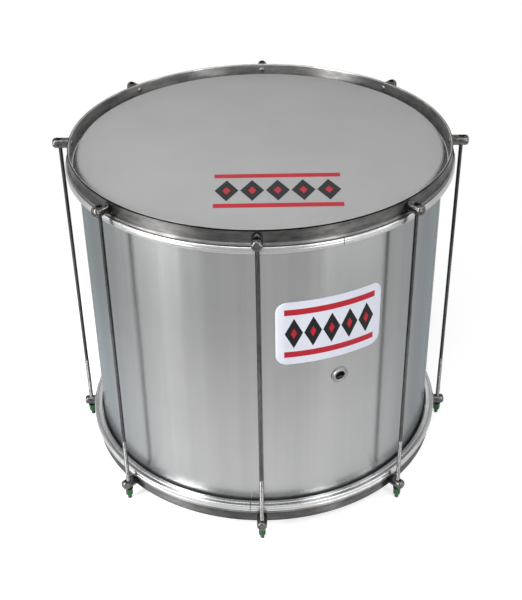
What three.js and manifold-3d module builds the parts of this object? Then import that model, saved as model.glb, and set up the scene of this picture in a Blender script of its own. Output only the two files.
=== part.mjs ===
// A surdo: a deep bass drum with an aluminium shell, two film heads and two steel counterhoops
// that eight tension rods draw together. Millimetres, +Z up. The origin is on the floor, on the
// drum's axis, and the rod ends stand on the floor. The air vent faces -Y, which is the front.

import * as THREE from 'three';
import { mergeVertices } from 'three/addons/utils/BufferGeometryUtils.js';
import Module from 'manifold-3d';

// Shell
const shellDiameter = 508;
const shellDepth = 450;
const shellWall = 1.2;
const bearingEdgeRadius = 4;
const bearingLipWidth = 9;

// Seam of the shell, at the rear
const seamStripWidth = 26;
const seamStripThickness = 1;
const seamStripEndMargin = 10;
const rivetCount = 6;
const rivetEdgeMargin = 12;
const rivetShankDiameter = 4.2;
const rivetHeadReach = 2.1;
const rivetHeadHeight = 1.8;
const rivetTailReach = 1.1;
const rivetTailHeight = 1.4;

// Film heads
const filmThickness = 0.35;
const filmTuckDepth = 6;
const collarSpace = 3.5;
const collarDepth = 9.5;

// Flesh hoops, which the film is fixed to
const fleshHoopWidth = 12;
const fleshHoopHeight = 10;
const fleshHoopCornerRadius = 2.2;
const fleshHoopJointGap = 1.2;
const topJointAngle = -1.6;
const bottomJointAngle = -28;

// Counterhoops
const counterhoopSetBack = 5;
const counterhoopWall = 2.5;
const counterhoopFlangeReach = 4;
const counterhoopFlangeThickness = 4;
const counterhoopAboveHead = 11.5;

// Tension rods
const rodThreadDiameter = 6;
const rodThreadRelief = 0.3;
const rodThreadLength = 109;
const rodTipBevel = 0.8;
const rodHeadReach = 1.2;
const rodHeadHeight = 2;
const rodOutsideFleshHoop = 6.5;
const rodEndBelowNut = 6.9;

// Lugs: turned studs that stand out from the counterhoops
const lugCount = 8;
const firstLugAngle = -24.5;
const lugWall = 4.25;
const lugAboveFlange = 0.3;
const lugTipBeyondRod = 10.3;
const lugTipRounding = 4.2;
const lugShankDiameter = 6;
const lugPeenReach = 1.2;
const lugPeenHeight = 1.2;
const rodHeadRecess = 5.5;

// Nuts and washers
const nutWall = 2;
const nutHeight = 12;
const nutRounding = 2.2;
const washerReach = 1.25;
const washerThickness = 1.2;

// Air vent
const ventHeightShare = 0.4933;
const ventBore = 13;
const ventBarrelWall = 1.5;
const ventRimReach = 1.25;
const ventRimHeight = 2.8;
const ventFlangeReach = 4.25;
const ventFlangeThickness = 1.4;
const ventLipReach = 1.75;
const ventLipThickness = 1;
const ventWasherReach = 4;
const ventWasherThickness = 1;

// Label on the shell
const labelWidth = 149;
const labelHeight = 96;
const labelCornerRadius = 15;
const labelThickness = 0.4;
const labelAngle = -3;
const labelAboveVent = 20;

// Clearances
const seatGap = 0.3;
const holeClearance = 0.3;
const cutOverrun = 2;
const weldDistance = 0.0001;

// Facets of round things
const facetsPerLug = 7;
const studFacets = 10;
const rodFacets = 8;
const holeFacets = 10;
const eyeletFacets = 16;
const arcSteps = 2;
const cornerSteps = 5;

// Radii
const shellRadius = shellDiameter / 2;
const shellInnerRadius = shellRadius - shellWall;
const fleshHoopInnerRadius = shellRadius + collarSpace;
const fleshHoopOuterRadius = fleshHoopInnerRadius + fleshHoopWidth;
const counterhoopInnerRadius = fleshHoopInnerRadius + counterhoopSetBack;
const counterhoopOuterRadius = counterhoopInnerRadius + counterhoopWall;
const counterhoopFlangeRadius = counterhoopOuterRadius + counterhoopFlangeReach;
const rodThreadRadius = rodThreadDiameter / 2;
const rodShankRadius = rodThreadRadius - rodThreadRelief;
const rodHeadRadius = rodThreadRadius + rodHeadReach;
const rodHoleRadius = rodThreadRadius + holeClearance;
const rodHeadHoleRadius = rodHeadRadius + holeClearance;
const rodCircleRadius = fleshHoopOuterRadius + rodOutsideFleshHoop + rodThreadRadius;
const lugStudRadius = rodThreadRadius + lugWall;
const lugTipRadius = rodCircleRadius + lugTipBeyondRod;
const lugShankRadius = lugShankDiameter / 2;
const rivetShankRadius = rivetShankDiameter / 2;
const ventBoreRadius = ventBore / 2;
const ventBarrelRadius = ventBoreRadius + ventBarrelWall;
const ventFlangeRadius = ventBarrelRadius + ventFlangeReach;

// Depths from the hoop edge of either end of the drum
const counterhoopHeight = counterhoopAboveHead + collarDepth;
const counterhoopFlangeTop = counterhoopHeight - counterhoopFlangeThickness;
const lugDepth = counterhoopFlangeTop - lugAboveFlange - lugStudRadius;
const fleshHoopNear = counterhoopHeight + seatGap;
const fleshHoopFar = fleshHoopNear + fleshHoopHeight;

// Levels, from the floor up
const nutTop = rodEndBelowNut + nutHeight;
const washerTop = nutTop + seatGap + washerThickness;
const bottomLugHeight = washerTop + seatGap + lugStudRadius;
const bottomHoopEdge = bottomLugHeight - lugDepth;
const bottomHeadFace = bottomHoopEdge + counterhoopAboveHead;
const shellBottom = bottomHeadFace + filmThickness + seatGap;
const shellTop = shellBottom + shellDepth;
const topHeadFace = shellTop + seatGap + filmThickness;
const topHoopEdge = topHeadFace + counterhoopAboveHead;
const topLugHeight = topHoopEdge - lugDepth;
const rodHeadSeat = topLugHeight + lugStudRadius - rodHeadRecess + seatGap;
const ventHeight = shellBottom + shellDepth * ventHeightShare;
const labelCentre = ventHeight + ventFlangeRadius + labelAboveVent + labelHeight / 2;

// Angles are measured from the front, -Y, towards +X. A facet of every large ring faces each lug.
const ringFacets = facetsPerLug * lugCount;
const facetAngle = (2 * Math.PI) / ringFacets;
const lugPitch = (2 * Math.PI) / lugCount;
const firstLug = THREE.MathUtils.degToRad(firstLugAngle);
const ringPhase = firstLug + facetAngle / 2;
const flatShare = Math.cos(facetAngle / 2);

const wasm = await Module();
wasm.setup();

// A closed geometry as a solid that can be cut and joined
function toSolid(geometry) {
  const bare = geometry.clone();
  bare.deleteAttribute('normal');
  bare.deleteAttribute('uv');
  const welded = mergeVertices(bare, weldDistance);
  const corners = welded.index.array;
  const kept = [];
  for (let i = 0; i < corners.length; i += 3) {
    const [a, b, c] = [corners[i], corners[i + 1], corners[i + 2]];
    if (a !== b && b !== c && c !== a) {
      kept.push(a, b, c);
    }
  }
  const vertProperties = new Float32Array(welded.attributes.position.array);
  const triVerts = new Uint32Array(kept);
  return new wasm.Manifold(new wasm.Mesh({ numProp: 3, vertProperties, triVerts }));
}

// A solid as a geometry
function toGeometry(solid) {
  const mesh = solid.getMesh();
  const geometry = new THREE.BufferGeometry();
  geometry.setAttribute('position', new THREE.BufferAttribute(mesh.vertProperties, 3));
  geometry.setIndex(new THREE.BufferAttribute(mesh.triVerts, 1));
  geometry.computeVertexNormals();
  return geometry;
}

function cut(body, tools) {
  return toGeometry(tools.reduce((solid, tool) => solid.subtract(toSolid(tool)), toSolid(body)));
}

function overlapOf(body, tool) {
  return toGeometry(toSolid(body).intersect(toSolid(tool)));
}

// A profile of [radius, height] points turned about the Z axis
function turned(points, facets, phase = 0) {
  const profile = points.map(([radius, height]) => new THREE.Vector2(radius, height));
  return new THREE.LatheGeometry(profile, facets, phase).rotateX(Math.PI / 2);
}

// A profile of [radius, distance] points turned about the Y axis, with the distance along -Y
function turnedOutwards(points, facets) {
  const profile = points.map(([radius, distance]) => new THREE.Vector2(radius, distance));
  return new THREE.LatheGeometry(profile, facets).rotateX(Math.PI);
}

function closed(points) {
  return [...points, points[0]];
}

// Points of an arc, from one angle to another in degrees
function arc([centreX, centreY], radius, from, to, steps = arcSteps) {
  return Array.from({ length: steps + 1 }, (_, i) => {
    const angle = THREE.MathUtils.degToRad(from + ((to - from) * i) / steps);
    return [centreX + radius * Math.cos(angle), centreY + radius * Math.sin(angle)];
  });
}

// A ring that belongs to one end of the drum. Its points are [radius, depth] from that end's
// hoop edge, and the same ring serves the other end upside down.
function endRing(points, edge, inwards) {
  const placed = points.map(([radius, depth]) => [radius, edge + inwards * depth]);
  return turned(closed(inwards > 0 ? placed : placed.reverse()), ringFacets, ringPhase);
}

// A drill along Y, from the distance near to the distance far in front of the axis
function drillOutwards(radius, near, far, facets = holeFacets) {
  return turnedOutwards([[0, near], [radius, near], [radius, far], [0, far]], facets);
}

function drillUpwards(radius, low, high, facets = holeFacets) {
  return turned([[0, low], [radius, low], [radius, high], [0, high]], facets);
}

function lugAngles() {
  return Array.from({ length: lugCount }, (_, i) => firstLug + i * lugPitch);
}

// The seam strip's lower and upper end
function seamStripEnds() {
  const margin = bearingEdgeRadius + seamStripEndMargin;
  return [shellBottom + margin, shellTop - margin];
}

// Heights of the rivets along the seam
function rivetHeights() {
  const [low, high] = [seamStripEnds()[0] + rivetEdgeMargin, seamStripEnds()[1] - rivetEdgeMargin];
  const step = (high - low) / (rivetCount - 1);
  return Array.from({ length: rivetCount }, (_, i) => low + i * step);
}

// Drills for the rivets, at the rear
function rivetDrills() {
  const radius = rivetShankRadius + holeClearance;
  const inside = shellInnerRadius - seamStripThickness - seatGap - cutOverrun;
  return rivetHeights().map((height) =>
    drillOutwards(radius, inside, shellRadius + cutOverrun, rodFacets)
      .rotateZ(Math.PI)
      .translate(0, 0, height));
}

// The shell: a rolled sheet whose two ends turn inwards to make the bearing edges
function shellGeometry() {
  const bend = bearingEdgeRadius;
  const inner = bend - shellWall;
  const lip = shellRadius - bearingLipWidth;
  const axis = shellRadius - bend;
  const [low, high] = [shellBottom + bend, shellTop - bend];
  const tube = turned(closed([
    [lip, shellBottom],
    ...arc([axis, low], bend, -90, 0),
    ...arc([axis, high], bend, 0, 90),
    [lip, shellTop],
    [lip, shellTop - shellWall],
    ...arc([axis, high], inner, 90, 0),
    ...arc([axis, low], inner, 0, -90),
    [lip, shellBottom + shellWall],
  ]), ringFacets, ringPhase);
  const ventDrill = drillOutwards(
    ventBarrelRadius + holeClearance,
    shellInnerRadius - cutOverrun,
    shellRadius + cutOverrun,
    eyeletFacets,
  ).translate(0, 0, ventHeight);
  return cut(tube, [ventDrill, ...rivetDrills()]);
}

// The strip that backs the seam inside the shell
function seamStripGeometry() {
  const outer = shellInnerRadius - seatGap;
  const inner = outer - seamStripThickness;
  const [low, high] = seamStripEnds();
  const ring = turned(
    closed([[inner, low], [outer, low], [outer, high], [inner, high]]),
    ringFacets,
    ringPhase,
  );
  const reach = shellDiameter;
  const slice = new THREE.BoxGeometry(seamStripWidth, reach, reach)
    .translate(0, reach / 2, (low + high) / 2);
  return cut(overlapOf(ring, slice), rivetDrills());
}

// A rivet through the shell and the seam strip
function rivetGeometry() {
  const headSeat = shellRadius + seatGap;
  const tailSeat = (shellInnerRadius - seatGap - seamStripThickness) * flatShare - seatGap;
  const shank = rivetShankRadius;
  const head = shank + rivetHeadReach;
  const tail = shank + rivetTailReach;
  return turnedOutwards([
    [0, tailSeat - rivetTailHeight],
    [tail, tailSeat - rivetTailHeight],
    [tail, tailSeat],
    [shank, tailSeat],
    [shank, headSeat],
    [head, headSeat],
    [head * Math.SQRT1_2, headSeat + rivetHeadHeight * Math.SQRT1_2],
    [0, headSeat + rivetHeadHeight],
  ], rodFacets).rotateZ(Math.PI);
}

// A head: the flat film, its bend over the bearing edge and the collar down to the flesh hoop
function headGeometry(edge, inwards) {
  const face = counterhoopAboveHead;
  const axis = [shellRadius - bearingEdgeRadius, face + filmThickness + seatGap + bearingEdgeRadius];
  const under = bearingEdgeRadius + seatGap;
  const tuckOuter = fleshHoopInnerRadius - seatGap;
  const tuckTop = fleshHoopNear;
  const tuckEnd = tuckTop + filmTuckDepth;
  const points = [
    [0, face],
    ...arc(axis, under + filmThickness, -90, -30),
    [tuckOuter, tuckTop],
    [tuckOuter, tuckEnd],
    [tuckOuter - filmThickness, tuckEnd],
    [tuckOuter - filmThickness, tuckTop],
    ...arc(axis, under, -30, -90),
    [0, face + filmThickness],
  ];
  const placed = points.map(([radius, depth]) => [radius, edge + inwards * depth]);
  return turned(inwards > 0 ? placed : placed.reverse(), ringFacets, ringPhase);
}

// A flesh hoop: a ring of rounded bar with a butt joint
function fleshHoopGeometry(edge, inwards, jointAngle) {
  const [near, far, round] = [fleshHoopNear, fleshHoopFar, fleshHoopCornerRadius];
  const [inner, outer] = [fleshHoopInnerRadius + round, fleshHoopOuterRadius - round];
  const ring = endRing([
    ...arc([outer, near + round], round, -90, 0, 1),
    ...arc([outer, far - round], round, 0, 90, 1),
    ...arc([inner, far - round], round, 90, 180, 1),
    ...arc([inner, near + round], round, 180, 270, 1),
  ], edge, inwards);
  const width = fleshHoopWidth + 2 * cutOverrun;
  const height = fleshHoopHeight + 2 * cutOverrun;
  const saw = new THREE.BoxGeometry(fleshHoopJointGap, width, height)
    .translate(0, -(fleshHoopInnerRadius + fleshHoopOuterRadius) / 2, 0)
    .rotateZ(THREE.MathUtils.degToRad(jointAngle))
    .translate(0, 0, edge + (inwards * (near + far)) / 2);
  return cut(ring, [saw]);
}

// A counterhoop: an upright steel band with a flange that presses on the flesh hoop
function counterhoopGeometry(edge, inwards) {
  const band = endRing([
    [counterhoopInnerRadius, 0],
    [counterhoopOuterRadius, 0],
    [counterhoopOuterRadius, counterhoopFlangeTop],
    [counterhoopFlangeRadius, counterhoopFlangeTop],
    [counterhoopFlangeRadius, counterhoopHeight],
    [counterhoopInnerRadius, counterhoopHeight],
  ], edge, inwards);
  const drills = lugAngles().map((angle) =>
    drillOutwards(
      lugShankRadius + holeClearance,
      counterhoopInnerRadius - cutOverrun,
      counterhoopOuterRadius + cutOverrun,
    )
      .rotateZ(angle)
      .translate(0, 0, edge + inwards * lugDepth));
  return cut(band, drills);
}

// A lug: its stud stands out from the hoop, and its shank is peened over inside the hoop
function lugBlank() {
  const peenSeat = counterhoopInnerRadius * flatShare - seatGap;
  const studSeat = counterhoopOuterRadius * flatShare + seatGap;
  const stud = lugStudRadius;
  const shank = lugShankRadius;
  const peen = shank + lugPeenReach;
  return turnedOutwards([
    [0, peenSeat - lugPeenHeight],
    [shank, peenSeat - lugPeenHeight],
    [peen, peenSeat],
    [shank, peenSeat],
    [shank, studSeat],
    [stud, studSeat],
    ...arc([stud - lugTipRounding, lugTipRadius - lugTipRounding], lugTipRounding, 0, 90),
    [0, lugTipRadius],
  ], studFacets);
}

// Both lugs are drilled for the rod, and the top one is counterbored for the rod's head.
function lugGeometry(isTop) {
  const stud = lugStudRadius;
  const drills = [drillUpwards(rodHoleRadius, -stud - cutOverrun, stud + cutOverrun)];
  if (isTop) {
    drills.push(drillUpwards(rodHeadHoleRadius, stud - rodHeadRecess, stud + cutOverrun));
  }
  return cut(lugBlank(), drills.map((drill) => drill.translate(0, -rodCircleRadius, 0)));
}

// A tension rod, from its bevelled threaded end on the floor up to its round head
function rodGeometry() {
  const [thread, shank, head] = [rodThreadRadius, rodShankRadius, rodHeadRadius];
  return turned([
    [0, 0],
    [thread - rodTipBevel, 0],
    [thread, rodTipBevel],
    [thread, rodThreadLength],
    [shank, rodThreadLength],
    [shank, rodHeadSeat],
    [head, rodHeadSeat],
    [head, rodHeadSeat + rodHeadHeight],
    [0, rodHeadSeat + rodHeadHeight],
  ], rodFacets);
}

// A tall hexagon nut whose lower end is rounded, with its top at height zero
function nutGeometry() {
  const corner = (2 * (rodThreadRadius + nutWall)) / Math.sqrt(3);
  const hexagon = new THREE.CylinderGeometry(corner, corner, nutHeight, 6)
    .rotateX(Math.PI / 2)
    .translate(0, 0, -nutHeight / 2);
  const roundEnd = turned([
    [0, -nutHeight],
    [corner - nutRounding, -nutHeight],
    [corner, nutRounding - nutHeight],
    [corner, 0],
    [0, 0],
  ], 2 * holeFacets);
  const bore = drillUpwards(rodHoleRadius, -nutHeight - cutOverrun, cutOverrun);
  return cut(overlapOf(hexagon, roundEnd), [bore]);
}

// A flat washer, with its top at height zero
function washerGeometry() {
  const [inner, outer] = [rodHoleRadius, rodThreadRadius + nutWall + washerReach];
  return turned(closed([
    [inner, -washerThickness],
    [outer, -washerThickness],
    [outer, 0],
    [inner, 0],
  ]), holeFacets);
}

// The vent eyelet: a flange with a raised rim outside, a barrel and a lip turned over inside
function ventEyeletGeometry() {
  const [bore, barrel, flange] = [ventBoreRadius, ventBarrelRadius, ventFlangeRadius];
  const [rim, lip] = [barrel + ventRimReach, barrel + ventLipReach];
  const flangeSeat = shellRadius + seatGap;
  const lipSeat = shellInnerRadius * flatShare - seatGap - ventWasherThickness - seatGap;
  return turnedOutwards(closed([
    [bore, lipSeat - ventLipThickness],
    [lip, lipSeat - ventLipThickness],
    [lip, lipSeat],
    [barrel, lipSeat],
    [barrel, flangeSeat],
    [flange, flangeSeat],
    [flange, flangeSeat + ventFlangeThickness / 2],
    [rim, flangeSeat + ventFlangeThickness],
    [(bore + rim) / 2, flangeSeat + ventRimHeight],
    [bore, flangeSeat + ventFlangeThickness],
  ]), eyeletFacets);
}

// The washer that the eyelet's lip holds against the inside of the shell
function ventWasherGeometry() {
  const [inner, outer] = [ventBarrelRadius + holeClearance, ventBarrelRadius + ventWasherReach];
  const seat = shellInnerRadius * flatShare - seatGap;
  return turnedOutwards(closed([
    [inner, seat - ventWasherThickness],
    [outer, seat - ventWasherThickness],
    [outer, seat],
    [inner, seat],
  ]), eyeletFacets);
}

// The label: a rounded rectangle bent round the shell
function labelGeometry() {
  const inner = shellRadius + seatGap;
  const outer = inner + labelThickness;
  const [low, high] = [labelCentre - labelHeight, labelCentre + labelHeight];
  const ring = turned(
    closed([[inner, low], [outer, low], [outer, high], [inner, high]]),
    ringFacets,
    ringPhase,
  );
  const [x, y, round] = [labelWidth / 2, labelHeight / 2, labelCornerRadius];
  const corners = [
    ...arc([x - round, y - round], round, 0, 90, cornerSteps),
    ...arc([round - x, y - round], round, 90, 180, cornerSteps),
    ...arc([round - x, round - y], round, 180, 270, cornerSteps),
    ...arc([x - round, round - y], round, 270, 360, cornerSteps),
  ];
  const outline = new THREE.Shape(corners.map(([u, v]) => new THREE.Vector2(u, v)));
  const cutter = new THREE.ExtrudeGeometry(outline, { depth: shellDiameter, bevelEnabled: false })
    .rotateX(Math.PI / 2)
    .rotateZ(THREE.MathUtils.degToRad(labelAngle))
    .translate(0, 0, labelCentre);
  return overlapOf(ring, cutter);
}

// Materials
function finish(color, roughness, metalness) {
  return new THREE.MeshStandardMaterial({ color, roughness, metalness });
}

const finishes = {
  polishedAluminium: () => finish(0xc4c6c8, 0.18, 1),
  satinAluminium: () => finish(0xb4b6b8, 0.32, 1),
  hoopSteel: () => finish(0x77736e, 0.34, 1),
  turnedSteel: () => finish(0x8b8680, 0.28, 1),
  rodSteel: () => finish(0x6d6e70, 0.3, 1),
  washerSteel: () => finish(0x56585a, 0.4, 1),
  greenNut: () => finish(0x1f5a30, 0.45, 0.2),
  milkyFilm: () => finish(0xb3b3b1, 0.4, 0),
  whiteLabel: () => finish(0xdfe2ec, 0.35, 0),
};

function piece(name, geometry, material) {
  const mesh = new THREE.Mesh(geometry, material());
  mesh.name = name;
  return mesh;
}

// The shell with its seam, vent and label
function shellGroup() {
  const group = new THREE.Group();
  group.add(piece('shell', shellGeometry(), finishes.polishedAluminium));
  group.add(piece('seam_strip', seamStripGeometry(), finishes.satinAluminium));
  rivetHeights().forEach((height, i) => {
    const rivet = piece(`seam_rivet_${i + 1}`, rivetGeometry(), finishes.satinAluminium);
    rivet.position.z = height;
    group.add(rivet);
  });
  const vent = new THREE.Group();
  vent.position.z = ventHeight;
  vent.add(piece('vent_eyelet', ventEyeletGeometry(), finishes.satinAluminium));
  vent.add(piece('vent_washer', ventWasherGeometry(), finishes.washerSteel));
  group.add(vent);
  group.add(piece('shell_label', labelGeometry(), finishes.whiteLabel));
  return group;
}

// One end of the drum: head, flesh hoop and counterhoop
function endGroup(end, edge, inwards, jointAngle) {
  const group = new THREE.Group();
  const fleshHoop = fleshHoopGeometry(edge, inwards, jointAngle);
  group.add(piece(`${end}_head`, headGeometry(edge, inwards), finishes.milkyFilm));
  group.add(piece(`${end}_flesh_hoop`, fleshHoop, finishes.satinAluminium));
  group.add(piece(`${end}_counterhoop`, counterhoopGeometry(edge, inwards), finishes.hoopSteel));
  return group;
}

// One tension station: two lugs, the rod through them, and the washer and nut under the lower lug
function stationGroup(number, angle) {
  const group = new THREE.Group();
  group.rotation.z = angle;
  const topLug = piece(`top_lug_${number}`, lugGeometry(true), finishes.turnedSteel);
  topLug.position.z = topLugHeight;
  const bottomLug = piece(`bottom_lug_${number}`, lugGeometry(false), finishes.turnedSteel);
  bottomLug.position.z = bottomLugHeight;
  const rod = piece(`tension_rod_${number}`, rodGeometry(), finishes.rodSteel);
  rod.position.y = -rodCircleRadius;
  const washer = piece(`nut_washer_${number}`, washerGeometry(), finishes.washerSteel);
  washer.position.set(0, -rodCircleRadius, washerTop);
  const nut = piece(`tension_nut_${number}`, nutGeometry(), finishes.greenNut);
  nut.position.set(0, -rodCircleRadius, nutTop);
  group.add(topLug, bottomLug, rod, washer, nut);
  return group;
}

const surdo = new THREE.Group();
surdo.name = 'surdo';
surdo.add(shellGroup());
surdo.add(endGroup('top', topHoopEdge, -1, topJointAngle));
surdo.add(endGroup('bottom', bottomHoopEdge, 1, bottomJointAngle));
lugAngles().forEach((angle, i) => surdo.add(stationGroup(i + 1, angle)));

export default surdo;
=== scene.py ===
"""A surdo in a plain white studio. Metres, +Z up, and the drum's axis is Z.

Bearings are degrees round the axis, from the front (-Y, where the air vent is) towards +X.
"""

import math

import bpy
from mathutils import Matrix, Vector


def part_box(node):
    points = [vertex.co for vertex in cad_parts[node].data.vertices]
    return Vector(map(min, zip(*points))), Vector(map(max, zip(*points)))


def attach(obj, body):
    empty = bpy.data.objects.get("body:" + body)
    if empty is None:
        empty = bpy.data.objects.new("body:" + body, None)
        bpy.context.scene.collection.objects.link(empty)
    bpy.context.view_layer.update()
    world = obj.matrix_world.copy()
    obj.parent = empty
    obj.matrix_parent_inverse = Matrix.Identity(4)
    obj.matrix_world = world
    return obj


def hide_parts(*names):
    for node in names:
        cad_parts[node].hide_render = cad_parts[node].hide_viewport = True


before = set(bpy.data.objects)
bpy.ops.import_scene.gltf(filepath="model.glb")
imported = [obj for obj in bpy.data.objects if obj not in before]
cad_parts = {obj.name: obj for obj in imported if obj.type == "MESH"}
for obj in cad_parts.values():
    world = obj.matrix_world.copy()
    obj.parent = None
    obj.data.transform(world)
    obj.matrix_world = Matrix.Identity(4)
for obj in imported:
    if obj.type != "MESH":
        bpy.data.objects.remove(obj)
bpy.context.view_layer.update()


def levels(node):
    """The lowest and the highest level of a CAD node."""
    low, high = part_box(node)
    return low.z, high.z


def middle(ends):
    return (ends[0] + ends[1]) / 2


MM = 0.001

# Camera, fitted to the rods and hoops of the photograph, which is 522 by 600 pixels
PHOTO_HEIGHT = 600
FOCAL_PIXELS = 1103.58
SENSOR = 36
CAMERA_BEARING = -23.384
CAMERA_ELEVATION = 32.393
CAMERA_DISTANCE = 1.65925
CAMERA_TARGET_HEIGHT = 0.255
CAMERA_PAN = 0.074
CAMERA_TILT = 1.033
CAMERA_ROLL = -0.912

# Fineness of round forms, angles from which edges are sharp or bevelled, and a cut's overrun
RING_SEGMENTS = 320
TURNED_SEGMENTS = 96
HOLE_SEGMENTS = 64
RIVET_SEGMENTS = 48
ARC_STEPS = 8
DOME_STEPS = 6
SHARP_ANGLE = 35
BEVEL_ANGLE = 40
BEVEL_STEPS = 2
NEARLY_ZERO = 1e-9
OVERRUN = 2 * MM

# Shell
SHELL_RADIUS = 254 * MM
SHELL_BOTTOM, SHELL_TOP = levels("shell")
SHELL_WALL = 1.2 * MM
EDGE_RADIUS = 4 * MM
LIP_WIDTH = 9 * MM
SHELL_COLUMNS = 400

# Seam at the rear, whose groove has a floor and two slopes
SEAM_BEARING = 180
SEAM_GAP = 0.5 * MM
SEAM_DEPTH = 0.5 * MM
SEAM_RIVETS = 6
RIVET_RADIUS = 4.2 * MM
RIVET_SEAT = 0.1 * MM
RIVET_EDGE = 0.1 * MM
RIVET_RISE = 1.8 * MM
RIVET_SHANK = 2.1 * MM
RIVET_GRIP = 1.6 * MM
RIVET_TAIL_RADIUS = 3.2 * MM
RIVET_TAIL_HEIGHT = 1.4 * MM

# Air vent, in a square patch of the shell's mesh, with heights from the shell's surface
VENT_HEIGHT = middle(levels("vent_eyelet"))
VENT_HOLE = 8.3 * MM
VENT_PATCH = 4
PATCH_REACH = math.radians(VENT_PATCH * 360 / SHELL_COLUMNS) * SHELL_RADIUS
HOLE_RING_SHARES = (0.5, 1)
EYELET_BORE = 6.5 * MM
EYELET_BARREL = 8 * MM
EYELET_SEAT = 0.3 * MM
EYELET_FLANGE = 12.25 * MM
EYELET_FLANGE_TOP = 0.75 * MM
EYELET_RIM_FOOT = 10.1 * MM
EYELET_RIM_FOOT_TOP = 1.1 * MM
EYELET_RIM = 9.4 * MM
EYELET_RIM_TOP = 2.9 * MM
EYELET_GRIP = 1.9 * MM
EYELET_LIP = 9.75 * MM
EYELET_LIP_THICKNESS = 1 * MM
EYELET_LIP_ROUND = 0.4 * MM
EYELET_BARREL_ROUND = 0.2 * MM
EYELET_SEAT_ROUND = 0.05 * MM
EYELET_FLANGE_FOOT_ROUND = 0.1 * MM
EYELET_FLANGE_ROUND = 0.3 * MM
EYELET_RIM_FOOT_ROUND = 0.5 * MM
EYELET_RIM_ROUND = 1.1 * MM
EYELET_BORE_ROUND = 1.2 * MM

# Hoops and heads, with depths measured from a hoop's free edge towards the middle of the drum
TOP_EDGE = levels("top_counterhoop")[1]
BOTTOM_EDGE = levels("bottom_counterhoop")[0]
HOOP_INNER = 262.5 * MM
HOOP_OUTER = 265 * MM
HOOP_HEIGHT = TOP_EDGE - levels("top_counterhoop")[0]
HOOP_EDGE_ROUND = 0.8 * MM
HOOP_FOOT_ROUND = 0.5 * MM
FLANGE_RADIUS = 267.8 * MM
FLANGE_TOP = 17 * MM
FLANGE_FILLET = 1 * MM
FLANGE_NEAR_ROUND = 1.4 * MM
FLANGE_FAR_ROUND = 1.7 * MM
FLESH_INNER = 257.5 * MM
FLESH_OUTER = 269.5 * MM
FLESH_NEAR = TOP_EDGE - levels("top_flesh_hoop")[1]
FLESH_FAR = TOP_EDGE - levels("top_flesh_hoop")[0]
FLESH_ROUND = 2.2 * MM
FLESH_INNER_ROUND = 0.9 * MM
FLESH_JOINT = 1.2 * MM
TOP_JOINT_BEARING = -1.6
BOTTOM_JOINT_BEARING = -28
GROOVE_WIDTH = 2.4 * MM
GROOVE_FLOOR = 1.6 * MM
GROOVE_DEPTH = 0.7 * MM
GROOVE_EDGE_ROUND = 0.4 * MM
GROOVE_FLOOR_ROUND = 0.3 * MM
LINE_OFFSET = 0.9 * MM
LINE_WIDTH = 1.6 * MM
LINE_DEPTH = 0.5 * MM
LINE_EDGE_ROUND = 0.15 * MM
LINE_FLOOR_ROUND = 0.1 * MM
HEAD_DEPTH = TOP_EDGE - levels("top_head")[1]
HEAD_RING_SHARES = (0.3, 0.6, 0.85, 0.95)
HEAD_BEND = 60
FILM = 0.35 * MM
FILM_TUCK = 9 * MM
SEAT_GAP = 0.3 * MM

# Tension stations
STATIONS = 8
FIRST_BEARING = -24.5
ROD_CIRCLE = 279 * MM
CORNER_BEVEL = 0.25 * MM

# Studs, which the rods go through
LUG_DEPTH = TOP_EDGE - middle(levels("top_lug_1"))
LUG_RADIUS = 7.25 * MM
LUG_FOOT_ROUND = 0.4 * MM
LUG_TIP = 288.95 * MM
LUG_TIP_ROUND = 4.2 * MM
LUG_SHANK = 3 * MM
PEEN_RADIUS = 4.2 * MM
PEEN_RISE = 1.3 * MM
ROD_HOLE = 3.3 * MM
HEAD_HOLE = 4.5 * MM
HEAD_RECESS = 5.5 * MM

# Rods, which stand on the floor
ROD_SIDES = 24
ROD_RADIUS = 2.7 * MM
ROD_END_CHAMFER = 0.8 * MM
ROD_TOP = levels("tension_rod_1")[1]
ROD_HEAD_RADIUS = 4.2 * MM
ROD_HEAD_HEIGHT = 2 * MM
ROD_HEAD_ROUND = 0.8 * MM
ROD_HEAD_FOOT_ROUND = 0.3 * MM
THREAD_RADIUS = 3 * MM
THREAD_DEPTH = 0.55 * MM
THREAD_SLOPE = 1.25
THREAD_PITCH = 1 * MM
THREAD_TOP = 109 * MM
THREAD_FADE = 2 * THREAD_PITCH
ROWS_PER_PITCH = 8

# Nuts and the washers above them
NUT_BOTTOM, NUT_TOP = levels("tension_nut_1")
NUT_HEIGHT = NUT_TOP - NUT_BOTTOM
NUT_SIDES = 6
NUT_FLATS = 10 * MM
NUT_BORE = 3.1 * MM
NUT_END_INSET = 0.6 * MM
NUT_END_ROUND = 2.4 * MM
NUT_WAIST_SHARE = 0.55
NUT_WAIST_ROUND = 3 * MM
NUT_CORNER_GAP = 0.1 * MM
NUT_CHAMFER_WIDTH = 0.9 * MM
NUT_CHAMFER_HEIGHT = 0.5 * MM
WASHER_BOTTOM, WASHER_TOP = levels("nut_washer_1")
WASHER_THICKNESS = WASHER_TOP - WASHER_BOTTOM
WASHER_RADIUS = 6.25 * MM
WASHER_ROUND = 0.3 * MM
WASHER_HOLE_ROUND = 0.15 * MM

# Label
LABEL_WIDTH = 149 * MM
LABEL_HEIGHT = levels("shell_label")[1] - levels("shell_label")[0]
LABEL_CENTRE = middle(levels("shell_label"))
LABEL_BEARING = -3
LABEL_CORNER = 15 * MM
LABEL_GAP = 0.1 * MM
LABEL_THICKNESS = 0.4 * MM
LABEL_COLUMNS = 60
LABEL_CORNER_ROWS = 10

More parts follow.
